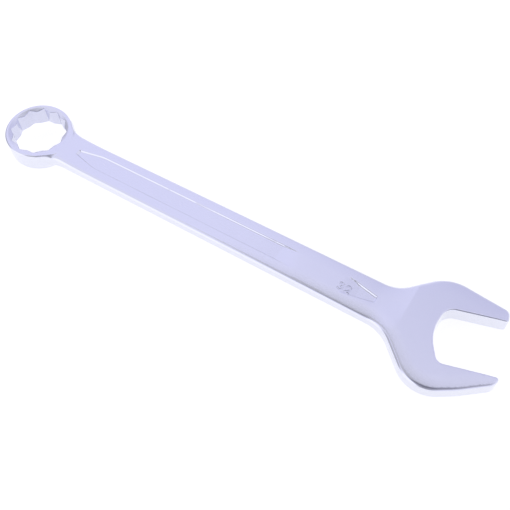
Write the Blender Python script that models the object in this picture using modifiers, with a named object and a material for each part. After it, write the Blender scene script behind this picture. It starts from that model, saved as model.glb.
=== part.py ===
"""A 32 mm combination wrench: an open jaw turned 15 degrees, a long shank and a tilted 12-point ring.

The wrench is one forging, so it is one node. It lies as it would on a bench, on the flat underside of
its head and the lower lip of its ring. +X runs from the ring to the jaw, and +Z is up. Everything is
drawn with the ring's centre over x = 0, and moved at the end so that the origin is the middle of the
wrench's footprint.
"""

import math

import bmesh
import bpy
from mathutils import Matrix, Vector

MM = 0.001

# Driving dimensions
ACROSS_FLATS = 32 * MM
RING_TO_JAW = 295 * MM  # from the ring's centre to the centre of a nut held in the jaw

# Open head. Its outline is drawn in the jaw's own axes, with the nut's centre at 0, 0.
JAW_ANGLE = math.radians(15)
HEAD_THICKNESS = 10.8 * MM
FAR_TIP = (25.9 * MM, 22.9 * MM)
FAR_TIP_RADIUS = 4 * MM
FAR_CROWN = (-7.4 * MM, 36.6 * MM)
FAR_CROWN_RADIUS = 22 * MM
NEAR_TIP = (24.2 * MM, -20.2 * MM)
NEAR_TIP_RADIUS = 6 * MM
NEAR_JAW = (6 * MM, -28.2 * MM)  # between the near tip and the near crown, which makes the jaw bow out
NEAR_JAW_RADIUS = 60 * MM
NEAR_CROWN = (-17.5 * MM, -35.8 * MM)
NEAR_CROWN_RADIUS = 20 * MM
THROAT_BACK = 12 * MM  # behind the nut's centre, where the two sloping back walls would meet
THROAT_BACK_RADIUS = 24 * MM
THROAT_SIDE = 6.5 * MM  # behind the nut's centre, where each jaw flat would meet its back wall
THROAT_FAR_RADIUS = 8 * MM
THROAT_NEAR_RADIUS = 4.5 * MM
MOUTH_REACH = 40 * MM  # the throat's cutter runs this far past the nut's centre

# Neck between the head and the shank
FAR_NECK_X = 257 * MM
FAR_NECK_RADIUS = 18 * MM
NEAR_NECK_X = 259.3 * MM
NEAR_NECK_RADIUS = 22 * MM
RAMP_START_X = 248 * MM  # the shank's faces rise from here to the head's flat faces
RAMP_END_X = 267.5 * MM

# Shank. Its middle rises a little towards the ring.
SHANK_THICKNESS = 8.6 * MM
WAIST_X = 30 * MM
WAIST_HALF_WIDTH = 12 * MM
NECK_HALF_WIDTH = 12.7 * MM
WAIST_MID_Z = 8.1 * MM
NECK_MID_Z = 5.6 * MM
EDGE_RADIUS = 2.6 * MM
EDGE_SEGMENTS = 4
EDGE_ANGLE = math.radians(60)  # edges that turn less than this stay as they are

# Panel sunk into both faces of the shank
PANEL_START_X = 34.5 * MM
PANEL_END_X = 250 * MM
PANEL_HALF_WIDTH = 5.2 * MM
PANEL_TIP_HALF_WIDTH = 2 * MM
PANEL_TIP_RADIUS = 0.8 * MM
PANEL_TAPER = 17 * MM
PANEL_TAPER_RADIUS = 30 * MM
PANEL_DEPTH = 0.9 * MM

# Ring
RING_RADIUS = 22.1 * MM
RING_THICKNESS = 14.5 * MM
RING_TILT = math.radians(7)
RING_RIM_RADIUS = 2 * MM
RING_RIM_SEGMENTS = 3
RING_SIDES = 72
RING_NECK_RADIUS = 25.6 * MM
RING_NECK_ROOT_X = 4 * MM  # the neck runs into the ring's wall as far as this
NECK_TOP_DROP = 0.02 * MM  # how far the neck's upper face lies under the ring's, which it carries on

# 12-point bore, as two hexagons turned 30 degrees apart, with a coned mouth on each side
BORE_CLEARANCE = 0.2 * MM
BORE_POINTS = 12
BORE_MOUTH_RADIUS = 20 * MM
BORE_MOUTH_SLOPE = math.radians(23)
BORE_MOUTH_SIDES = 72

# Drawing
ARC_STEP = math.radians(9)
OVERSHOOT = 1 * MM  # how far a cutter stands out of the face it cuts
TALL = 60 * MM  # thicker than the wrench, for outlines that cut right through
WIDE = 120 * MM  # wider than the wrench

# The lowest point of the ring's rounded lip is level with the head's underside.
RING_CENTRE_Z = (
    RING_RIM_RADIUS
    + (RING_THICKNESS / 2 - RING_RIM_RADIUS) * math.cos(RING_TILT)
    + (RING_RADIUS - RING_RIM_RADIUS) * math.sin(RING_TILT)
)
RING_PLACE = Matrix.Translation((0, 0, RING_CENTRE_Z)) @ Matrix.Rotation(RING_TILT, 4, "Y")
SHANK_RISE = (WAIST_MID_Z - NECK_MID_Z) / (RAMP_START_X - WAIST_X)


def main():
    clear_scene()
    parts = new_collection("combination_wrench")
    cutters = new_collection("cutters")

    forging = prism("wrench_forging", plan_outline(), TALL, parts)
    combine(forging, side_profile_solid(cutters), "INTERSECT")
    round_edges(forging, EDGE_RADIUS, EDGE_SEGMENTS, EDGE_ANGLE)
    combine(forging, ring_solid(cutters), "UNION")
    combine(forging, throat_cutter(cutters), "DIFFERENCE")
    combine(forging, bore_cutter(cutters), "DIFFERENCE")
    for side, name in ((1, "top"), (-1, "bottom")):
        combine(forging, bore_mouth_cutter(name, side, cutters), "DIFFERENCE")
        combine(forging, panel_cutter(name, side, cutters), "DIFFERENCE")
    forging.data.materials.append(satin_chrome())
    stand_on_origin(forging, [*parts.objects, *cutters.objects])


def clear_scene():
    for obj in list(bpy.data.objects):
        bpy.data.objects.remove(obj)


def new_collection(name):
    collection = bpy.data.collections.new(name)
    bpy.context.scene.collection.children.link(collection)
    return collection


# Outlines


def jaw_point(along, across):
    """A point given in the jaw's axes, in the wrench's."""
    x = RING_TO_JAW + along * math.cos(JAW_ANGLE) - across * math.sin(JAW_ANGLE)
    y = along * math.sin(JAW_ANGLE) + across * math.cos(JAW_ANGLE)
    return x, y


def arc(centre, radius, start, turn):
    """Points along an arc, from its start angle through its turn, ends included."""
    steps = max(2, math.ceil(abs(turn) / ARC_STEP))
    angles = [start + turn * step / steps for step in range(steps + 1)]
    return [
        (centre[0] + radius * math.cos(angle), centre[1] + radius * math.sin(angle))
        for angle in angles
    ]


def rounded(corners):
    """Points of a closed outline. Each corner is x, y and the radius that rounds it."""
    points = []
    for i, (x, y, radius) in enumerate(corners):
        if radius == 0:
            points.append((x, y))
            continue
        corner = Vector((x, y))
        back = (Vector(corners[i - 1][:2]) - corner).normalized()
        ahead = (Vector(corners[(i + 1) % len(corners)][:2]) - corner).normalized()
        half = back.angle(ahead) / 2
        centre = corner + (back + ahead).normalized() * (radius / math.sin(half))
        first = corner + back * (radius / math.tan(half)) - centre
        last = corner + ahead * (radius / math.tan(half)) - centre
        start = math.atan2(first.y, first.x)
        turn = (math.atan2(last.y, last.x) - start + math.pi) % math.tau - math.pi
        points += arc(centre, radius, start, turn)
    return points


def ring_neck_arc(side):
    """The fillet from the ring's wall down to the waist, on the far side (1) or the near side (-1)."""
    centre = (WAIST_X, side * (WAIST_HALF_WIDTH + RING_NECK_RADIUS))
    towards_ring = math.atan2(-centre[1], -centre[0])
    towards_shank = -side * math.pi / 2
    turn = (towards_shank - towards_ring + math.pi) % math.tau - math.pi
    return arc(centre, RING_NECK_RADIUS, towards_ring, turn)


def plan_outline():
    """The wrench from above, without its throat and its ring."""
    head = rounded(
        [
            (WAIST_X, -WAIST_HALF_WIDTH, 0),
            (NEAR_NECK_X, -NECK_HALF_WIDTH, NEAR_NECK_RADIUS),
            (*jaw_point(*NEAR_CROWN), NEAR_CROWN_RADIUS),
            (*jaw_point(*NEAR_JAW), NEAR_JAW_RADIUS),
            (*jaw_point(*NEAR_TIP), NEAR_TIP_RADIUS),
            (*jaw_point(*FAR_TIP), FAR_TIP_RADIUS),
            (*jaw_point(*FAR_CROWN), FAR_CROWN_RADIUS),
            (FAR_NECK_X, NECK_HALF_WIDTH, FAR_NECK_RADIUS),
            (WAIST_X, WAIST_HALF_WIDTH, 0),
        ]
    )
    far_arc = ring_neck_arc(1)[-2::-1]
    near_arc = ring_neck_arc(-1)[:-1]
    far_root = (RING_NECK_ROOT_X, far_arc[-1][1])
    near_root = (RING_NECK_ROOT_X, near_arc[0][1])
    return head + far_arc + [far_root, near_root] + near_arc


def side_profile():
    """The wrench from the near side, without its ring, as x and z."""

    def mid_z(x):
        return NECK_MID_Z + SHANK_RISE * (RAMP_START_X - x)

    half = SHANK_THICKNESS / 2
    start_x = RING_NECK_ROOT_X - OVERSHOOT
    end_x = RING_TO_JAW + MOUTH_REACH
    ring_top = RING_CENTRE_Z + RING_THICKNESS / 2 / math.cos(RING_TILT) - NECK_TOP_DROP
    ring_fall = math.tan(RING_TILT)
    meeting_x = (ring_top - mid_z(0) - half) / (ring_fall - SHANK_RISE)
    return [
        (start_x, mid_z(start_x) - half),
        (RAMP_START_X, mid_z(RAMP_START_X) - half),
        (RAMP_END_X, 0),
        (end_x, 0),
        (end_x, HEAD_THICKNESS),
        (RAMP_END_X, HEAD_THICKNESS),
        (RAMP_START_X, mid_z(RAMP_START_X) + half),
        (meeting_x, mid_z(meeting_x) + half),
        (start_x, ring_top - start_x * ring_fall),
    ]


def throat_outline():
    half = ACROSS_FLATS / 2
    corners = [
        (MOUTH_REACH, -half, 0),
        (MOUTH_REACH, half, 0),
        (-THROAT_SIDE, half, THROAT_FAR_RADIUS),
        (-THROAT_BACK, 0, THROAT_BACK_RADIUS),
        (-THROAT_SIDE, -half, THROAT_NEAR_RADIUS),
    ]
    return [jaw_point(*point) for point in rounded(corners)]


def bore_outline():
    """A 12-point star: the outline of two hexagons turned 30 degrees apart."""
    half = (ACROSS_FLATS + BORE_CLEARANCE) / 2
    point_radius = half / math.cos(math.pi / 6)
    root_radius = half / math.cos(math.pi / BORE_POINTS)
    outline = []
    for i in range(2 * BORE_POINTS):
        angle = math.pi * i / BORE_POINTS
        radius = root_radius if i % 2 else point_radius
        outline.append((radius * math.cos(angle), radius * math.sin(angle)))
    return outline


def panel_outline():
    corners = []
    for side in (-1, 1):
        half = [
            (PANEL_START_X, side * PANEL_TIP_HALF_WIDTH, PANEL_TIP_RADIUS),
            (PANEL_START_X + PANEL_TAPER, side * PANEL_HALF_WIDTH, PANEL_TAPER_RADIUS),
            (PANEL_END_X - PANEL_TAPER, side * PANEL_HALF_WIDTH, PANEL_TAPER_RADIUS),
            (PANEL_END_X, side * PANEL_TIP_HALF_WIDTH, PANEL_TIP_RADIUS),
        ]
        corners += half[::-side]
    return rounded(corners[::-1])


# Solids


def prism(name, outline, thickness, collection):
    """An outline in the XY plane, with half the thickness above it and half below."""
    curve = bpy.data.curves.new(name, "CURVE")
    curve.dimensions = "2D"
    curve.fill_mode = "BOTH"
    curve.extrude = thickness / 2
    spline = curve.splines.new("POLY")
    spline.points.add(len(outline) - 1)
    for point, (x, y) in zip(spline.points, outline):
        point.co = (x, y, 0, 1)
    spline.use_cyclic_u = True

    drawn = bpy.data.objects.new(name + "_curve", curve)
    collection.objects.link(drawn)
    evaluated = drawn.evaluated_get(bpy.context.evaluated_depsgraph_get())
    solid = bpy.data.objects.new(name, bpy.data.meshes.new_from_object(evaluated))
    bpy.data.objects.remove(drawn)
    collection.objects.link(solid)

    mesh = bmesh.new()
    mesh.from_mesh(solid.data)
    bmesh.ops.remove_doubles(mesh, verts=mesh.verts, dist=0.001 * MM)
    bmesh.ops.recalc_face_normals(mesh, faces=mesh.faces)
    mesh.to_mesh(solid.data)
    mesh.free()
    return solid


def turned(name, low_radius, high_radius, height, sides, collection):
    """A cylinder or cone about Z, half its height above the XY plane and half below."""
    mesh = bmesh.new()
    bmesh.ops.create_cone(
        mesh,
        cap_ends=True,
        segments=sides,
        radius1=low_radius,
        radius2=high_radius,
        depth=height,
    )
    solid = bpy.data.objects.new(name, bpy.data.meshes.new(name))
    mesh.to_mesh(solid.data)
    mesh.free()
    collection.objects.link(solid)
    return solid


def as_cutter(solid, place):
    solid.matrix_world = place
    solid.display_type = "WIRE"
    solid.hide_render = True
    return solid


def side_profile_solid(cutters):
    upright = Matrix.Rotation(math.pi / 2, 4, "X")
    return as_cutter(prism("side_profile", side_profile(), WIDE, cutters), upright)


def ring_solid(cutters):
    ring = turned("ring", RING_RADIUS, RING_RADIUS, RING_THICKNESS, RING_SIDES, cutters)
    round_edges(ring, RING_RIM_RADIUS, RING_RIM_SEGMENTS, EDGE_ANGLE)
    return as_cutter(ring, RING_PLACE)


def throat_cutter(cutters):
    return as_cutter(prism("throat", throat_outline(), TALL, cutters), Matrix())


def bore_cutter(cutters):
    return as_cutter(prism("bore", bore_outline(), TALL, cutters), RING_PLACE)


def bore_mouth_cutter(name, side, cutters):
    """A cone that opens the bore's mouth, on the ring's upper (1) or lower (-1) face."""
    narrow_radius = ACROSS_FLATS / 2 - OVERSHOOT
    depth = (BORE_MOUTH_RADIUS - narrow_radius) * math.tan(BORE_MOUTH_SLOPE)
    wide_radius = BORE_MOUTH_RADIUS + OVERSHOOT / math.tan(BORE_MOUTH_SLOPE)
    height = depth + OVERSHOOT
    radii = (narrow_radius, wide_radius)[::side]
    cone = turned(name + "_bore_mouth", *radii, height, BORE_MOUTH_SIDES, cutters)
    centre_z = RING_THICKNESS / 2 + OVERSHOOT - height / 2
    return as_cutter(cone, RING_PLACE @ Matrix.Translation((0, 0, side * centre_z)))


def panel_cutter(name, side, cutters):
    """The panel in the shank's upper (1) or lower (-1) face, sloping with the shank."""
    thickness = 2 * PANEL_DEPTH
    cutter = prism(name + "_panel", panel_outline(), thickness, cutters)
    middle_x = (WAIST_X + RAMP_START_X) / 2
    middle_z = (WAIST_MID_Z + NECK_MID_Z) / 2 + side * SHANK_THICKNESS / 2
    slope = Matrix.Rotation(math.atan(SHANK_RISE), 4, "Y")
    there = Matrix.Translation((middle_x, 0, middle_z))
    back = Matrix.Translation((-middle_x, 0, 0))
    return as_cutter(cutter, there @ slope @ back)


def round_edges(obj, radius, segments, angle):
    bevel = obj.modifiers.new("round_edges", "BEVEL")
    bevel.width = radius
    bevel.segments = segments
    bevel.limit_method = "ANGLE"
    bevel.angle_limit = angle
    bevel.use_clamp_overlap = False


def combine(obj, other, operation):
    boolean = obj.modifiers.new(other.name, "BOOLEAN")
    boolean.operation = operation
    boolean.solver = "EXACT"
    boolean.object = other


def satin_chrome():
    material = bpy.data.materials.new("satin_chrome")
    material.use_nodes = True
    shader = material.node_tree.nodes["Principled BSDF"]
    shader.inputs["Base Color"].default_value = (0.72, 0.73, 0.80, 1)
    shader.inputs["Metallic"].default_value = 1
    shader.inputs["Roughness"].default_value = 0.28
    return material


def stand_on_origin(solid, everything):
    """Moves everything so that the middle of the solid's footprint is the origin."""
    bpy.context.view_layer.update()
    evaluated = solid.evaluated_get(bpy.context.evaluated_depsgraph_get())
    corners = [evaluated.matrix_world @ Vector(corner) for corner in evaluated.bound_box]
    low = Vector(min(corner[axis] for corner in corners) for axis in range(3))
    high = Vector(max(corner[axis] for corner in corners) for axis in range(3))
    shift = Matrix.Translation((-(low.x + high.x) / 2, -(low.y + high.y) / 2, -low.z))
    for obj in everything:
        obj.matrix_world = shift @ obj.matrix_world
    bpy.context.view_layer.update()


main()
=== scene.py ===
"""The looks of a 32 mm combination wrench: its fine surface, its satin chrome, and a white studio.

The surface is made from one signed distance field, in millimetres, which is negative inside the metal.
The field is drawn as the CAD model is: with the ring's centre over x = 0, +X towards the jaw, +Z up.
Each shape in it comes from the same driving dimensions as the CAD model, with the softer edges and
fillets of a polished forging.
"""

import itertools
import math

import bmesh
import bpy
import numpy as np
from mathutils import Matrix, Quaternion, Vector

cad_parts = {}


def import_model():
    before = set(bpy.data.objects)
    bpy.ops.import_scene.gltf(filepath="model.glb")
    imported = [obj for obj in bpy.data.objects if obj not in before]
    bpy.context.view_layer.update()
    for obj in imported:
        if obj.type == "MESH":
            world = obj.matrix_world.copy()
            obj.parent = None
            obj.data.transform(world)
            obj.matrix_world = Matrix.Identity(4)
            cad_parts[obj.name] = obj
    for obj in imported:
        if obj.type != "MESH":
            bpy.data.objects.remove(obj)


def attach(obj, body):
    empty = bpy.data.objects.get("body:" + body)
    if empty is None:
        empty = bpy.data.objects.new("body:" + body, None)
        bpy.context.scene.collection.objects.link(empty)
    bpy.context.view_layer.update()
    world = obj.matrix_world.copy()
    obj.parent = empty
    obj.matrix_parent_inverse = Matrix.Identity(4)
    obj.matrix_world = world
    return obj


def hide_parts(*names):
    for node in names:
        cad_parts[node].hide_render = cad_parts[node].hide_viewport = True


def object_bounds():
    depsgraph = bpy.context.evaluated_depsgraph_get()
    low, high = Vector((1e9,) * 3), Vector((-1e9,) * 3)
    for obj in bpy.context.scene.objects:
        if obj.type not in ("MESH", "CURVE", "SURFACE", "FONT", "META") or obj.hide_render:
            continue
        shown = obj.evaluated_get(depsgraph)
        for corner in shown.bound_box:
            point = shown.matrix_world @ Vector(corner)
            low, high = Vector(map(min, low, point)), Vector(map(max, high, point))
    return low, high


MM = 0.001
NODE = "wrench_forging"
SLOT = "satin_chrome"

# Driving dimensions, in millimetres
ACROSS_FLATS = 32
RING_TO_JAW = 295

# Open head. Its outline is drawn in the jaw's own axes: along, across and the corner's radius.
JAW_ANGLE = math.radians(15)
HEAD_THICKNESS = 10.8
FAR_TIP = (25.9, 22.9, 4)
FAR_CROWN = (-7.4, 36.6, 22)
NEAR_JAW = (6, -28.2, 60)
NEAR_TIP = (24.2, -20.2, 6)
NEAR_CROWN = (-17.5, -35.8, 20)
THROAT_BACK = (-12, 0, 24)
THROAT_SIDE = -6.5
THROAT_FAR_RADIUS = 8
THROAT_NEAR_RADIUS = 4.5
MOUTH_REACH = 40
JAW_EDGE = 0.7
JAW_TIP_CORNER = 1.6
JAW_EDGE_REACH = 5

# Neck between the head and the shank
FAR_NECK = (257, 12.7, 18)
NEAR_NECK = (259.3, -12.7, 22)
RAMP_START_X = 248
RAMP_END_X = 266.5
RAMP_FADE_Y = (-12, 4)
CREASE_POWER = 1.6

# Shank
SHANK_THICKNESS = 8.6
WAIST_X = 30
WAIST_HALF_WIDTH = 12
WAIST_MID_Z = 8.1
NECK_MID_Z = 5.6

# Soft edges of the shank and the head, and how far both faces drop towards them. The radii and the
# near side's drops change along X, and have one value for each station.
EDGE_STATIONS = (0, 30, 150, 245, 272, 300, 320)
FAR_EDGE_RADII = (3.0, 2.6, 2.4, 2.6, 2.8, 2.2, 1.4)
NEAR_EDGE_RADII = (3.0, 2.6, 2.3, 1.9, 2.4, 1.9, 1.3)
CROWN_REACH = 9
FAR_CROWN_DROP = 0.4
NEAR_CROWN_DROPS = (0.4, 0.4, 0.4, 0.65, 0.5, 0.4, 0.4)

# Panel sunk into both faces of the shank. Its depth changes along X, with one value for each station,
# and it runs out to the face where the value is below zero.
PANEL_START_X = 34.5
PANEL_END_X = 250
PANEL_HALF_WIDTH = 5.4
PANEL_TIP_HALF_WIDTH = 2.0
PANEL_TIP_RADIUS = 0.8
PANEL_TAPER = 17
PANEL_TAPER_RADIUS = 30
PANEL_DEPTH = 0.9
PANEL_STATIONS = (34, 60, 188, 201, 229, 239)
PANEL_DEPTHS = (1.1, 0.9, 0.75, -0.25, -0.25, 0.9)
PANEL_DRAFT = math.radians(35)
PANEL_FLOOR_FILLET = 0.35
PANEL_EDGE = 0.25

# Size mark sunk in the panel's floor. A bowl is an arc of a digit, between two angles in degrees.
MARK_START = (228.0, -4.0)
MARK_HEIGHT = 4.2
MARK_WIDTH = 2.7
MARK_GAP = 1.7
MARK_HALF_STROKE = 0.45
MARK_DEPTH = 0.5
MARK_EDGE = 0.1
THREE_TOP_BOWL = (150, -90)
THREE_BASE_BOWL = (90, -150)
TWO_BOWL = (165, -40)

# Ring. Its neck's radius is eased a little, so that the arc ends just short of its neighbours.
RING_RADIUS = 22.1
RING_THICKNESS = 14.5
RING_TILT = math.radians(7)
RIM_RADIUS = 2
NEAR_RIM_RADIUS = 1.3
RING_NECK_RADIUS = 25.6
RING_NECK_EASE = 0.995
RING_NECK_ROOT_X = 4
RING_FILLET = 3
RING_TOP_BLEND = 1.3
BORE_CLEARANCE = 0.2
BORE_MOUTH_RADIUS = 20
BORE_MOUTH_SLOPE = math.radians(23)
BORE_EDGE = 0.35
RING_CENTRE_Z = (
    RIM_RADIUS
    + (RING_THICKNESS / 2 - RIM_RADIUS) * math.cos(RING_TILT)
    + (RING_RADIUS - RIM_RADIUS) * math.sin(RING_TILT)
)
SHANK_RISE = (WAIST_MID_Z - NECK_MID_Z) / (RAMP_START_X - WAIST_X)

# Mesh
GRID_LOW = (-RING_RADIUS - 2, -40, -2)
GRID_HIGH = (RING_TO_JAW + 30, 42, 24)
CELL = 0.9
FINEST_CELL = 0.15
REFINE_TURN = math.radians(9)
REFINE_ROUNDS = 3
SHARP_CORNER = 0.01
ARC_STEPS = 8
SETTLE_ROUNDS = 4
LEAST_SLOPE = 0.5
PROBE = 0.05

# Chrome. Noise is given in grains for each metre along X, Y and Z.
CHROME_COLOUR = (0.80, 0.81, 0.90, 1)
CHROME_ROUGHNESS = (0.11, 0.17)
NOISE_DETAIL = 2
CLOUD_SCALE = 55
CLOUD_RANGE = (0.3, 0.7)
WAVE_HEIGHT = 0.00004
LINE_SCALE = (60, 2600, 2600)
LINE_HEIGHT = 0.000003
SCUFF_SCALE = (120, 3200, 3200)
SCUFF_ANGLE = math.radians(24)
SCUFF_RANGE = (0.66, 0.74)
SCUFF_ROUGHNESS = 0.12

# Values kept on the mesh's points, and what they do to the chrome
RECESS = "recess"
RECESS_ROUGHNESS = 0.05
# The bore's walls: a darker base colour that is painted shade, standing in for the shade inside the
# bore, and more roughness for duller plating
BORE_SHADE_AND_DULLNESS = "bore_shade_and_dullness"
BORE_PAINTED_SHADE_COLOUR = (0.70, 0.71, 0.85, 1)
BROACHED_ROUGHNESS = 0.1
BROACHED_FADE = 0.5

# Studio. A direction is an azimuth anticlockwise from +X and an elevation, and a patch's reach is how
# far from its middle it starts to fade and is gone, all in degrees.
FLOOR_SIZE = 8
DISC_SIDES = 48
FLOOR_COLOUR = (0.35, 0.35, 0.36, 1)
FLOOR_ROUGHNESS = 0.7
FLOOR_SPECULAR = 0.2
FLOOR_GLOW_COLOUR = (1, 1, 1, 1)
FLOOR_GLOW = 0.82
BACKDROP_COLOUR = (1, 1, 1, 1)
ROOM_COLOUR = (0.84, 0.84, 0.98, 1)
ROOM_PATCHES = (
    {"direction": (90, 42), "reach": (4, 33), "colour": (0.66, 0.66, 0.86, 1)},
    {"direction": (90, 8), "reach": (6, 24), "colour": (0.78, 0.78, 0.85, 1)},
    {"direction": (150, 38), "reach": (5, 40), "colour": (0.82, 0.82, 1.04, 1)},
    {"direction": (-80, 22), "reach": (5, 27), "colour": (0.45, 0.45, 0.50, 1)},
    {"direction": (-118, 12), "reach": (6, 30), "colour": (1.18, 1.18, 1.32, 1)},
    {"direction": (-170, 18), "reach": (12, 33), "colour": (0.50, 0.50, 0.57, 1)},
)

# Two soft-edged shapes that the chrome reflects: the photographer behind the camera, and a grey card
# hung over the shank. A shape's reach is the radii at which it starts to fade and is gone.
PHOTOGRAPHER_DISTANCE = 445 * MM
PHOTOGRAPHER_REACH = (39 * MM, 461 * MM)
PHOTOGRAPHER_COLOUR = (0.20, 0.20, 0.24, 1)
CARD_PLACE = Vector((0, -60, 455)) * MM
CARD_REACH = (60 * MM, 270 * MM)
CARD_COLOUR = (0.50, 0.50, 0.52, 1)

# Camera, from the middle of the wrench's footprint
CAMERA_TARGET = Vector((24.5, -4.8, 4.2)) * MM
CAMERA_AZIMUTH = math.radians(39.98)
CAMERA_ELEVATION = math.radians(57.39)
CAMERA_ROLL = math.radians(-8.8)
CAMERA_DISTANCE = 386.9 * MM
CAMERA_LENS = 46.57
CAMERA_NEAREST = 0.01


def main():
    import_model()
    cad_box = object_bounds()
    wrench = wrench_surface(cad_box)
    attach(wrench, "root")
    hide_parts(NODE)
    wrench.data.materials.append(satin_chrome())
    studio_floor()
    photographer()
    grey_card()
    studio_light()
    camera()


# Outlines: closed lines of straight runs and arcs, anticlockwise


def unit(vector):
    return vector / np.linalg.norm(vector)


def unit_rows(vectors):
    return vectors / np.linalg.norm(vectors, axis=1)[:, None]


def outline(corners):
    """The arcs and straight runs of an outline, from its corners: x, y and the radius of each."""
    arcs = []
    for i, (x, y, radius) in enumerate(corners):
        corner = np.array((x, y))
        back = unit(np.array(corners[i - 1][:2]) - corner)
        ahead = unit(np.array(corners[(i + 1) % len(corners)][:2]) - corner)
        half = math.acos(np.clip(back @ ahead, -1, 1)) / 2
        radius = max(radius, SHARP_CORNER)
        centre = corner + unit(back + ahead) * radius / math.sin(half)
        reach = radius / math.tan(half)
        arcs.append((centre, radius, corner + back * reach, corner + ahead * reach))
    runs = [(arcs[i - 1][3], arcs[i][2]) for i in range(len(arcs))]
    return arcs, runs


def outline_distance(shape, x, y):
    """Distance from an outline, negative inside it."""
    arcs, runs = shape
    nearest = np.full(np.broadcast(x, y).shape, np.inf)

    def keep_nearest(distance, within):
        nonlocal nearest
        nearest = np.where(within & (np.abs(distance) < np.abs(nearest)), distance, nearest)

    for centre, radius, first, last in arcs:
        start, end = first - centre, last - centre
        convex = np.sign(start[0] * end[1] - start[1] * end[0])
        dx, dy = x - centre[0], y - centre[1]
        after_start = convex * (start[0] * dy - start[1] * dx) >= 0
        before_end = convex * (dx * end[1] - dy * end[0]) >= 0
        keep_nearest(convex * (np.hypot(dx, dy) - radius), after_start & before_end)
    for first, last in runs:
        length = np.linalg.norm(last - first)
        along = (last - first) / length
        dx, dy = x - first[0], y - first[1]
        run = dx * along[0] + dy * along[1]
        keep_nearest(dx * along[1] - dy * along[0], (run >= 0) & (run <= length))
    return nearest


def jaw_corner(along, across, radius):
    """A corner given in the jaw's axes, in the wrench's."""
    x = RING_TO_JAW + along * math.cos(JAW_ANGLE) - across * math.sin(JAW_ANGLE)
    y = along * math.sin(JAW_ANGLE) + across * math.cos(JAW_ANGLE)
    return x, y, radius


def plan_outline():
    """The wrench from above, without its throat and its ring."""
    lean = math.atan2(WAIST_X, WAIST_HALF_WIDTH + RING_NECK_RADIUS)
    flare_x = WAIST_X - RING_NECK_RADIUS * math.tan(lean / 2)
    touch_x = RING_RADIUS * math.sin(lean)
    touch_y = RING_RADIUS * math.cos(lean)
    neck_radius = RING_NECK_RADIUS * RING_NECK_EASE
    return outline(
        [
            (RING_NECK_ROOT_X, -touch_y, 0),
            (touch_x, -touch_y, 0),
            (flare_x, -WAIST_HALF_WIDTH, neck_radius),
            NEAR_NECK,
            jaw_corner(*NEAR_CROWN),
            jaw_corner(*NEAR_JAW),
            jaw_corner(*NEAR_TIP),
            jaw_corner(*FAR_TIP),
            jaw_corner(*FAR_CROWN),
            FAR_NECK,
            (flare_x, WAIST_HALF_WIDTH, neck_radius),
            (touch_x, touch_y, 0),
            (RING_NECK_ROOT_X, touch_y, 0),
        ]
    )


def throat_outline():
    half = ACROSS_FLATS / 2
    corners = [
        (MOUTH_REACH, -half, 0),
        (MOUTH_REACH, half, 0),
        (THROAT_SIDE, half, THROAT_FAR_RADIUS),
        THROAT_BACK,
        (THROAT_SIDE, -half, THROAT_NEAR_RADIUS),
    ]
    return outline([jaw_corner(*corner) for corner in corners])


def panel_outline():
    half = [
        (PANEL_START_X, PANEL_TIP_HALF_WIDTH, PANEL_TIP_RADIUS),
        (PANEL_START_X + PANEL_TAPER, PANEL_HALF_WIDTH, PANEL_TAPER_RADIUS),
        (PANEL_END_X - PANEL_TAPER, PANEL_HALF_WIDTH, PANEL_TAPER_RADIUS),
        (PANEL_END_X, PANEL_TIP_HALF_WIDTH, PANEL_TIP_RADIUS),
    ]
    near = [(x, -y, radius) for x, y, radius in half]
    return outline(near + half[::-1])


def mark_strokes():
    """The middle lines of the digits 3 and 2, side by side."""
    left, base = MARK_START
    middle = left + MARK_WIDTH / 2
    quarter = MARK_HEIGHT / 4
    three = arc_points(middle, base + 3 * quarter, MARK_WIDTH / 2, quarter, *THREE_TOP_BOWL)
    three += arc_points(middle, base + quarter, MARK_WIDTH / 2, quarter, *THREE_BASE_BOWL)[1:]
    left += MARK_WIDTH + MARK_GAP
    middle += MARK_WIDTH + MARK_GAP
    top = base + MARK_HEIGHT - MARK_WIDTH / 2
    two = arc_points(middle, top, MARK_WIDTH / 2, MARK_WIDTH / 2, *TWO_BOWL)
    two += [(left, base), (left + MARK_WIDTH, base)]
    return [three, two]


def arc_points(x, y, half_width, half_height, first, last):
    """Points along part of an ellipse round a middle point, between two angles in degrees."""
    angles = [math.radians(first + (last - first) * i / ARC_STEPS) for i in range(ARC_STEPS + 1)]
    return [(x + half_width * math.cos(a), y + half_height * math.sin(a)) for a in angles]


def stroke_distance(strokes, x, y):
    """Distance from the inked part of strokes drawn with a round pen."""
    nearest = np.full(np.broadcast(x, y).shape, np.inf)
    for stroke in strokes:
        for first, last in itertools.pairwise(np.array(stroke)):
            along = last - first
            share = ((x - first[0]) * along[0] + (y - first[1]) * along[1]) / (along @ along)
            share = np.clip(share, 0, 1)
            gap = np.hypot(x - first[0] - share * along[0], y - first[1] - share * along[1])
            nearest = np.minimum(nearest, gap)
    return nearest - MARK_HALF_STROKE


# The field


def overlap(a, b, radius):
    """What is inside both shapes, with the edge between them rounded."""
    over = np.hypot(np.maximum(a + radius, 0), np.maximum(b + radius, 0))
    return over + np.minimum(np.maximum(a, b), -radius)


def join(a, b, radius):
    """What is inside either shape, with a fillet between them."""
    return -overlap(-a, -b, radius)


def blend(a, b, width):
    """What is inside either of two shapes whose faces meet at a slight angle, blended smoothly."""
    share = np.maximum(width - np.abs(a - b), 0) / width
    return np.minimum(a, b) - share**2 * width / 4


def cut(a, b, radius):
    """What is inside a and outside b, with the edge between them rounded."""
    return overlap(a, -b, radius)


def shank_mid_z(x):
    return NECK_MID_Z + SHANK_RISE * (RAMP_START_X - x)


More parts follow.
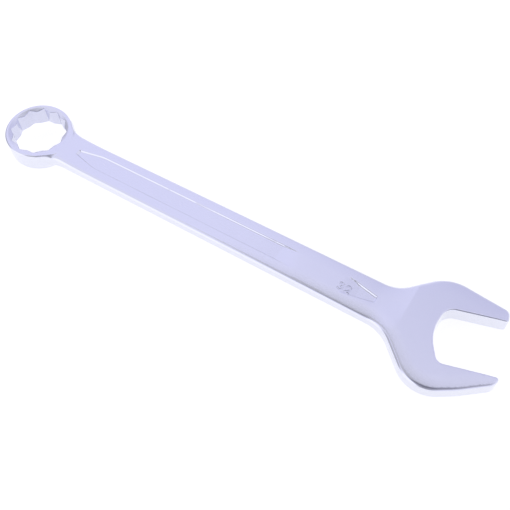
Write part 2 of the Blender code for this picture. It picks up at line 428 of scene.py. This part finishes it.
def top_z(x, y):
    """The height of the upper face: the shank's, then the ramp's, then the head's.

    The ramp meets the head in a crease on the far side, and eases into it on the near side.
    """
    shank = shank_mid_z(x) + SHANK_THICKNESS / 2
    share = np.clip((x - RAMP_START_X) / (RAMP_END_X - RAMP_START_X), 0, 1)
    far = np.clip((y - RAMP_FADE_Y[0]) / (RAMP_FADE_Y[1] - RAMP_FADE_Y[0]), 0, 1)
    creased = share**CREASE_POWER
    eased = share**2 * (3 - 2 * share)
    return shank + (HEAD_THICKNESS - shank) * (eased + (creased - eased) * far)


def bottom_z(x):
    shank = shank_mid_z(x) - SHANK_THICKNESS / 2
    ramp = np.clip((x - RAMP_START_X) / (RAMP_END_X - RAMP_START_X), 0, 1) ** 2
    return shank - shank * ramp


def ring_axes(x, z):
    """Places along the ring's own X and its axis."""
    up = z - RING_CENTRE_Z
    along = x * math.cos(RING_TILT) - up * math.sin(RING_TILT)
    axial = x * math.sin(RING_TILT) + up * math.cos(RING_TILT)
    return along, axial


def bore_distance(along, across):
    """Two hexagons turned 30 degrees apart, both round the ring's axis."""
    half = (ACROSS_FLATS + BORE_CLEARANCE) / 2
    hexagons = []
    for turn in (0, math.pi / 6):
        sides = [
            np.abs(along * math.cos(turn + i * math.pi / 3) + across * math.sin(turn + i * math.pi / 3))
            for i in range(3)
        ]
        first = overlap(sides[0] - half, sides[1] - half, BORE_EDGE)
        hexagons.append(overlap(first, sides[2] - half, BORE_EDGE))
    return join(*hexagons, BORE_EDGE)


def bore_mouth_distance(along, across, axial):
    """The cones that open both ends of the bore."""
    depth = RING_THICKNESS / 2 - np.abs(axial)
    radius = np.hypot(along, across)
    wide = radius - BORE_MOUTH_RADIUS + depth / math.tan(BORE_MOUTH_SLOPE)
    return wide * math.sin(BORE_MOUTH_SLOPE)


def panel_distance(plan, depth, floor):
    """The hollow of a panel, from its outline's distance, the depth below the face and the floor's."""
    wall = plan * math.cos(PANEL_DRAFT) + depth * math.sin(PANEL_DRAFT)
    return overlap(wall, depth - floor, PANEL_FLOOR_FILLET)


def wrench_field():
    """The wrench's signed distance, as a function of x, y and z."""
    plan = plan_outline()
    throat = throat_outline()
    panel = panel_outline()
    strokes = mark_strokes()

    def field(x, y, z):
        along, axial = ring_axes(x, z)
        top = blend(z - top_z(x, y), axial - RING_THICKNESS / 2, RING_TOP_BLEND)
        faces = np.maximum(top, bottom_z(x) - z)
        outer = outline_distance(plan, x, y)
        near_outline = np.clip(1 + outer / CROWN_REACH, 0, 1)
        near_drop = np.interp(x, EDGE_STATIONS, NEAR_CROWN_DROPS)
        drop = np.where(y > 0, FAR_CROWN_DROP, near_drop)
        faces = faces + drop * near_outline**2
        inner = -outline_distance(throat, x, y)
        head = cut(outer, -inner, JAW_TIP_CORNER)
        far_edge = np.interp(x, EDGE_STATIONS, FAR_EDGE_RADII)
        near_edge = np.interp(x, EDGE_STATIONS, NEAR_EDGE_RADII)
        outer_edge = np.where(y > 0, far_edge, near_edge)
        to_jaw = np.clip((inner - outer) / JAW_EDGE_REACH + 1, 0, 1)
        edge = outer_edge + (JAW_EDGE - outer_edge) * to_jaw
        metal = overlap(head, faces, edge)

        wall = np.hypot(along, y) - RING_RADIUS
        rim = np.interp(y, (-RING_RADIUS, 0), (NEAR_RIM_RADIUS, RIM_RADIUS))
        ring = overlap(wall, np.abs(axial) - RING_THICKNESS / 2, rim)
        metal = np.maximum(join(metal, ring, RING_FILLET), top)
        metal = cut(metal, bore_distance(along, y), BORE_EDGE)
        metal = cut(metal, bore_mouth_distance(along, y, axial), BORE_EDGE)

        panel_plan = outline_distance(panel, x, y)
        floor = np.interp(x, PANEL_STATIONS, PANEL_DEPTHS)
        metal = cut(metal, panel_distance(panel_plan, -top, floor), PANEL_EDGE)
        metal = cut(metal, panel_distance(panel_plan, z - bottom_z(x), floor), PANEL_EDGE)
        mark = overlap(stroke_distance(strokes, x, y), -top - floor - MARK_DEPTH, MARK_EDGE)
        return cut(metal, mark, MARK_EDGE)

    return field


def recess_depth(points):
    """How far points are down in a panel, from 0 to 1 at the panel's depth."""
    x, y, z = points.T
    depth = np.minimum(top_z(x, y) - z, z - bottom_z(x)) / PANEL_DEPTH
    inside = outline_distance(panel_outline(), x, y) < PANEL_EDGE
    return np.where(inside, np.clip(depth, 0, 1), 0)


def broached_share(points):
    """Which points are on the bore's walls, from 0 to 1: where the chrome gets painted shade and more
    roughness.
    """
    x, y, z = points.T
    along, axial = ring_axes(x, z)
    near_wall = 1 - np.abs(bore_distance(along, y)) / BROACHED_FADE
    in_ring = np.hypot(along, y) < BORE_MOUTH_RADIUS
    return np.where(in_ring, np.clip(near_wall, 0, 1), 0)


# From the field to a mesh


def surface_net(field, low, high, cell):
    """Points and quads of the field's zero surface, with one point in each grid cell it crosses."""
    x, y, z = [np.arange(a, b + cell, cell) for a, b in zip(low, high)]
    values = field(x[:, None, None], y[None, :, None], z[None, None, :])
    inside = values < 0
    nx, ny, nz = np.array(inside.shape) - 1
    corners = [
        inside[i : i + nx, j : j + ny, k : k + nz] for i, j, k in itertools.product((0, 1), repeat=3)
    ]
    crossed = np.any(corners, axis=0) & ~np.all(corners, axis=0)
    cells = np.argwhere(crossed)
    number = np.full(crossed.shape, -1)
    number[crossed] = np.arange(len(cells))

    total = np.zeros(cells.shape)
    count = np.zeros(len(cells))
    for axis in range(3):
        step = np.eye(3, dtype=int)[axis]
        for offset in itertools.product((0, 1), repeat=2):
            start = cells + np.insert(offset, axis, 0)
            a = values[tuple(start.T)]
            b = values[tuple((start + step).T)]
            hit = (a < 0) != (b < 0)
            share = np.divide(a, a - b, out=np.zeros(len(a)), where=hit)
            total += hit[:, None] * (start + share[:, None] * step)
            count += hit
    points = np.array(low) + cell * total / count[:, None]

    quads = []
    for axis in range(3):
        order = (axis, (axis + 1) % 3, (axis + 2) % 3)
        side = inside.transpose(order)[:, 1:-1, 1:-1]
        cell_number = number.transpose(order)
        i, j, k = np.nonzero(side[:-1] != side[1:])
        ring = np.stack(
            [
                cell_number[i, j, k],
                cell_number[i, j + 1, k],
                cell_number[i, j + 1, k + 1],
                cell_number[i, j, k + 1],
            ],
            axis=1,
        )
        outward = side[:-1][i, j, k]
        quads.append(np.where(outward[:, None], ring, ring[:, ::-1]))
    return points, np.concatenate(quads)


def slopes(field, points):
    """The field's gradient, by central differences."""
    parts = []
    for offset in np.eye(3) * PROBE:
        ahead = field(*(points + offset).T)
        behind = field(*(points - offset).T)
        parts.append((ahead - behind) / (2 * PROBE))
    return np.stack(parts, axis=1)


def settled(field, points):
    """The points moved onto the field's zero surface."""
    for _ in range(SETTLE_ROUNDS):
        slope = slopes(field, points)
        square = np.maximum((slope**2).sum(axis=1), LEAST_SLOPE**2)
        points = points - (field(*points.T) / square)[:, None] * slope
    return points


def refine(field, mesh):
    """Splits the edges over which the surface turns most, and every long edge in the size mark.

    All faces are then cut into triangles, so that no two of them fall on each other later.
    """
    work = bmesh.new()
    work.from_mesh(mesh)
    for _ in range(REFINE_ROUNDS):
        points = np.array([vertex.co for vertex in work.verts])
        normals = unit_rows(slopes(field, points))
        ends = np.array([[vertex.index for vertex in edge.verts] for edge in work.edges])
        first, last = ends.T
        turns = (normals[first] * normals[last]).sum(axis=1) < math.cos(REFINE_TURN)
        turns |= in_mark(points[first]) & in_mark(points[last])
        turns &= np.linalg.norm(points[first] - points[last], axis=1) > 2 * FINEST_CELL
        picked = [edge for edge, turn in zip(work.edges, turns) if turn]
        bmesh.ops.subdivide_edges(work, edges=picked, cuts=1, use_grid_fill=True)
        work.verts.index_update()
        points = settled(field, np.array([vertex.co for vertex in work.verts]))
        for vertex, point in zip(work.verts, points):
            vertex.co = point
    bmesh.ops.triangulate(work, faces=work.faces)
    work.to_mesh(mesh)
    work.free()
    return points


def in_mark(points):
    """Which points are on the size mark's patch of the panel floor."""
    x, y = points[:, 0] - MARK_START[0], points[:, 1] - MARK_START[1]
    margin = 2 * MARK_HALF_STROKE
    across = (x > -margin) & (x < 2 * MARK_WIDTH + MARK_GAP + margin)
    return across & (y > -margin) & (y < MARK_HEIGHT + margin) & (points[:, 2] > NECK_MID_Z)


def wrench_surface(cad_box):
    """The wrench's fine mesh, placed so that its box has the CAD box's middle."""
    field = wrench_field()
    points, quads = surface_net(field, GRID_LOW, GRID_HIGH, CELL)
    mesh = bpy.data.meshes.new("polished_wrench")
    mesh.from_pydata(settled(field, points).tolist(), [], quads.tolist())
    points = refine(field, mesh)
    middle = (points.min(axis=0) + points.max(axis=0)) / 2
    cad_middle = np.array([(a + b) / 2 for a, b in zip(*cad_box)])
    placed = (points - middle) * MM + cad_middle
    mesh.vertices.foreach_set("co", placed.ravel())
    for name, values in ((RECESS, recess_depth(points)), (BORE_SHADE_AND_DULLNESS, broached_share(points))):
        attribute = mesh.attributes.new(name, "FLOAT", "POINT")
        attribute.data.foreach_set("value", values)
    mesh.shade_smooth()
    mesh.normals_split_custom_set_from_vertices(unit_rows(slopes(field, points)).tolist())
    wrench = bpy.data.objects.new("polished_wrench", mesh)
    bpy.context.scene.collection.objects.link(wrench)
    return wrench


# Materials


def satin_chrome():
    """Chrome over a polished forging: a slow waviness, faint polishing lines and a few fine scuffs.

    The bore's walls get a darker base colour, which is painted shade standing in for the shade inside
    the bore, and more roughness for duller plating.
    """
    material = bpy.data.materials.new(SLOT)
    material.use_nodes = True
    tree = material.node_tree
    shader = tree.nodes["Principled BSDF"]
    shader.inputs["Metallic"].default_value = 1
    places = tree.nodes.new("ShaderNodeTexCoord").outputs["Object"]

    bore_shade_and_dullness = mesh_value(tree, BORE_SHADE_AND_DULLNESS)
    # Painted shade: the chrome's colour is mixed towards a darker one on the bore's walls
    colour = tree.nodes.new("ShaderNodeMix")
    colour.data_type = "RGBA"
    colour.inputs["A"].default_value = CHROME_COLOUR
    colour.inputs["B"].default_value = BORE_PAINTED_SHADE_COLOUR
    tree.links.new(bore_shade_and_dullness, colour.inputs["Factor"])
    tree.links.new(colour.outputs["Result"], shader.inputs["Base Color"])

    clouds = noise(tree, places, CLOUD_SCALE)
    scuffs = stretched(tree, aslant(tree, places), SCUFF_SCALE)
    smooth = ranged(tree, clouds, CLOUD_RANGE, CHROME_ROUGHNESS)
    worn = ranged(tree, scuffs, SCUFF_RANGE, (0, SCUFF_ROUGHNESS))
    sunk = ranged(tree, mesh_value(tree, RECESS), (0, 1), (0, RECESS_ROUGHNESS))
    dull = ranged(tree, bore_shade_and_dullness, (0, 1), (0, BROACHED_ROUGHNESS))
    total = added(tree, added(tree, smooth, worn), added(tree, sunk, dull))
    tree.links.new(total, shader.inputs["Roughness"])

    wave = bump(tree, clouds, WAVE_HEIGHT, None)
    lines = bump(tree, stretched(tree, places, LINE_SCALE), LINE_HEIGHT, wave)
    tree.links.new(lines, shader.inputs["Normal"])
    return material


def aslant(tree, places):
    """The places turned a little, so that scuffs run aslant across the polishing lines."""
    turn = tree.nodes.new("ShaderNodeMapping")
    turn.inputs["Rotation"].default_value = (0, 0, SCUFF_ANGLE)
    tree.links.new(places, turn.inputs["Vector"])
    return turn.outputs["Vector"]


def mesh_value(tree, name):
    """A value stored on the mesh's points."""
    attribute = tree.nodes.new("ShaderNodeAttribute")
    attribute.attribute_name = name
    return attribute.outputs["Fac"]


def noise(tree, places, scale):
    """Noise whose grains are 1 / scale metres across."""
    grain = tree.nodes.new("ShaderNodeTexNoise")
    grain.inputs["Scale"].default_value = scale
    grain.inputs["Detail"].default_value = NOISE_DETAIL
    tree.links.new(places, grain.inputs["Vector"])
    return grain.outputs["Fac"]


def stretched(tree, places, scales):
    """Noise drawn out along X, from its scale along each axis."""
    stretch = tree.nodes.new("ShaderNodeMapping")
    stretch.inputs["Scale"].default_value = scales
    tree.links.new(places, stretch.inputs["Vector"])
    return noise(tree, stretch.outputs["Vector"], 1)


def ranged(tree, value, source, target):
    """A value taken smoothly from one range to another."""
    change = tree.nodes.new("ShaderNodeMapRange")
    change.interpolation_type = "SMOOTHSTEP"
    change.inputs["From Min"].default_value, change.inputs["From Max"].default_value = source
    change.inputs["To Min"].default_value, change.inputs["To Max"].default_value = target
    tree.links.new(value, change.inputs["Value"])
    return change.outputs["Result"]


def added(tree, first, second):
    total = tree.nodes.new("ShaderNodeMath")
    tree.links.new(first, total.inputs[0])
    tree.links.new(second, total.inputs[1])
    return total.outputs["Value"]


def bump(tree, height, distance, under):
    """A bump of a given height in metres, over the bump under it."""
    relief = tree.nodes.new("ShaderNodeBump")
    relief.inputs["Distance"].default_value = distance
    tree.links.new(height, relief.inputs["Height"])
    if under:
        tree.links.new(under, relief.inputs["Normal"])
    return relief.outputs["Normal"]


def studio_floor():
    """A plain white table that glows a little, so that shadows on it stay faint."""
    mesh = bpy.data.meshes.new("studio_floor")
    half = FLOOR_SIZE / 2
    corners = [(-half, -half, 0), (half, -half, 0), (half, half, 0), (-half, half, 0)]
    mesh.from_pydata(corners, [], [(0, 1, 2, 3)])
    floor = bpy.data.objects.new("studio_floor", mesh)
    bpy.context.scene.collection.objects.link(floor)
    material = bpy.data.materials.new("white_table")
    material.use_nodes = True
    shader = material.node_tree.nodes["Principled BSDF"]
    shader.inputs["Base Color"].default_value = FLOOR_COLOUR
    shader.inputs["Roughness"].default_value = FLOOR_ROUGHNESS
    shader.inputs["Specular IOR Level"].default_value = FLOOR_SPECULAR
    shader.inputs["Emission Color"].default_value = FLOOR_GLOW_COLOUR
    shader.inputs["Emission Strength"].default_value = FLOOR_GLOW
    mesh.materials.append(material)
    return floor


def direction(azimuth, elevation):
    """A unit vector, from an azimuth anticlockwise from +X and an elevation, in degrees."""
    around, up = math.radians(azimuth), math.radians(elevation)
    return (math.cos(around) * math.cos(up), math.sin(around) * math.cos(up), math.sin(up))


def studio_light():
    """A pale room round the table, with soft darker and lighter patches."""
    scene = bpy.context.scene
    world = bpy.data.worlds.new("studio")
    scene.world = world
    world.use_nodes = True
    tree = world.node_tree
    room = tree.nodes["Background"]
    places = tree.nodes.new("ShaderNodeTexCoord")
    colour = ROOM_COLOUR
    for patch in ROOM_PATCHES:
        colour = room_patch(tree, places.outputs["Generated"], colour, patch)
    tree.links.new(colour, room.inputs["Color"])

    backdrop = tree.nodes.new("ShaderNodeBackground")
    backdrop.inputs["Color"].default_value = BACKDROP_COLOUR
    seen = tree.nodes.new("ShaderNodeLightPath")
    mix = tree.nodes.new("ShaderNodeMixShader")
    tree.links.new(seen.outputs["Is Camera Ray"], mix.inputs["Fac"])
    tree.links.new(room.outputs["Background"], mix.inputs[1])
    tree.links.new(backdrop.outputs["Background"], mix.inputs[2])
    tree.links.new(mix.outputs["Shader"], tree.nodes["World Output"].inputs["Surface"])

    scene.view_settings.view_transform = "Standard"


def room_patch(tree, place, under, patch):
    """A round soft-edged patch of the room in a colour of its own, over the colour under it."""
    aim = tree.nodes.new("ShaderNodeVectorMath")
    aim.operation = "DOT_PRODUCT"
    aim.inputs[1].default_value = direction(*patch["direction"])
    tree.links.new(place, aim.inputs[0])
    fade = tree.nodes.new("ShaderNodeMapRange")
    fade.interpolation_type = "SMOOTHSTEP"
    inner, outer = patch["reach"]
    fade.inputs["From Min"].default_value = math.cos(math.radians(outer))
    fade.inputs["From Max"].default_value = math.cos(math.radians(inner))
    tree.links.new(aim.outputs["Value"], fade.inputs["Value"])
    mix = tree.nodes.new("ShaderNodeMix")
    mix.data_type = "RGBA"
    tree.links.new(fade.outputs["Result"], mix.inputs["Factor"])
    if isinstance(under, tuple):
        mix.inputs["A"].default_value = under
    else:
        tree.links.new(under, mix.inputs["A"])
    mix.inputs["B"].default_value = patch["colour"]
    return mix.outputs["Result"]


def camera_side():
    """The direction from the wrench to the camera."""
    return Vector(
        (
            math.sin(CAMERA_AZIMUTH) * math.cos(CAMERA_ELEVATION),
            -math.cos(CAMERA_AZIMUTH) * math.cos(CAMERA_ELEVATION),
            math.sin(CAMERA_ELEVATION),
        )
    )


def photographer():
    """The dark shape of the photographer, facing the wrench from behind the camera."""
    place = CAMERA_TARGET + camera_side() * PHOTOGRAPHER_DISTANCE
    return soft_disc("photographer", place, camera_side(), PHOTOGRAPHER_REACH, PHOTOGRAPHER_COLOUR)


def grey_card():
    """A level card that shades the chrome a little towards the jaw's near side."""
    return soft_disc("grey_card", CARD_PLACE, Vector((0, 0, 1)), CARD_REACH, CARD_COLOUR)


def soft_disc(name, place, facing, reach, colour):
    """A matt disc that fades out between two radii. It shows in the chrome, but not to a camera."""
    inner, outer = reach
    mesh = bpy.data.meshes.new(name)
    around = [2 * math.pi * i / DISC_SIDES for i in range(DISC_SIDES)]
    rim = [(outer * math.cos(a), outer * math.sin(a), 0) for a in around]
    mesh.from_pydata(rim, [], [range(DISC_SIDES)])
    disc = bpy.data.objects.new(name, mesh)
    disc.location = place
    disc.rotation_mode = "QUATERNION"
    disc.rotation_quaternion = facing.to_track_quat("Z", "Y")
    disc.visible_camera = False
    bpy.context.scene.collection.objects.link(disc)

    material = bpy.data.materials.new(name)
    material.use_nodes = True
    tree = material.node_tree
    shader = tree.nodes["Principled BSDF"]
    shader.inputs["Base Color"].default_value = colour
    shader.inputs["Roughness"].default_value = 1
    shader.inputs["Specular IOR Level"].default_value = 0
    places = tree.nodes.new("ShaderNodeTexCoord")
    out = tree.nodes.new("ShaderNodeVectorMath")
    out.operation = "LENGTH"
    tree.links.new(places.outputs["Object"], out.inputs[0])
    fade = tree.nodes.new("ShaderNodeMapRange")
    fade.interpolation_type = "SMOOTHSTEP"
    fade.inputs["From Min"].default_value = outer
    fade.inputs["From Max"].default_value = inner
    tree.links.new(out.outputs["Value"], fade.inputs["Value"])
    tree.links.new(fade.outputs["Result"], shader.inputs["Alpha"])
    mesh.materials.append(material)
    return disc


def camera():
    data = bpy.data.cameras.new("camera")
    data.lens = CAMERA_LENS
    data.clip_start = CAMERA_NEAREST
    back = camera_side()
    eye = bpy.data.objects.new("camera", data)
    eye.location = CAMERA_TARGET + back * CAMERA_DISTANCE
    eye.rotation_mode = "QUATERNION"
    upright = (-back).to_track_quat("-Z", "Y")
    eye.rotation_quaternion = upright @ Quaternion((0, 0, 1), CAMERA_ROLL)
    bpy.context.scene.collection.objects.link(eye)
    bpy.context.scene.camera = eye


main()
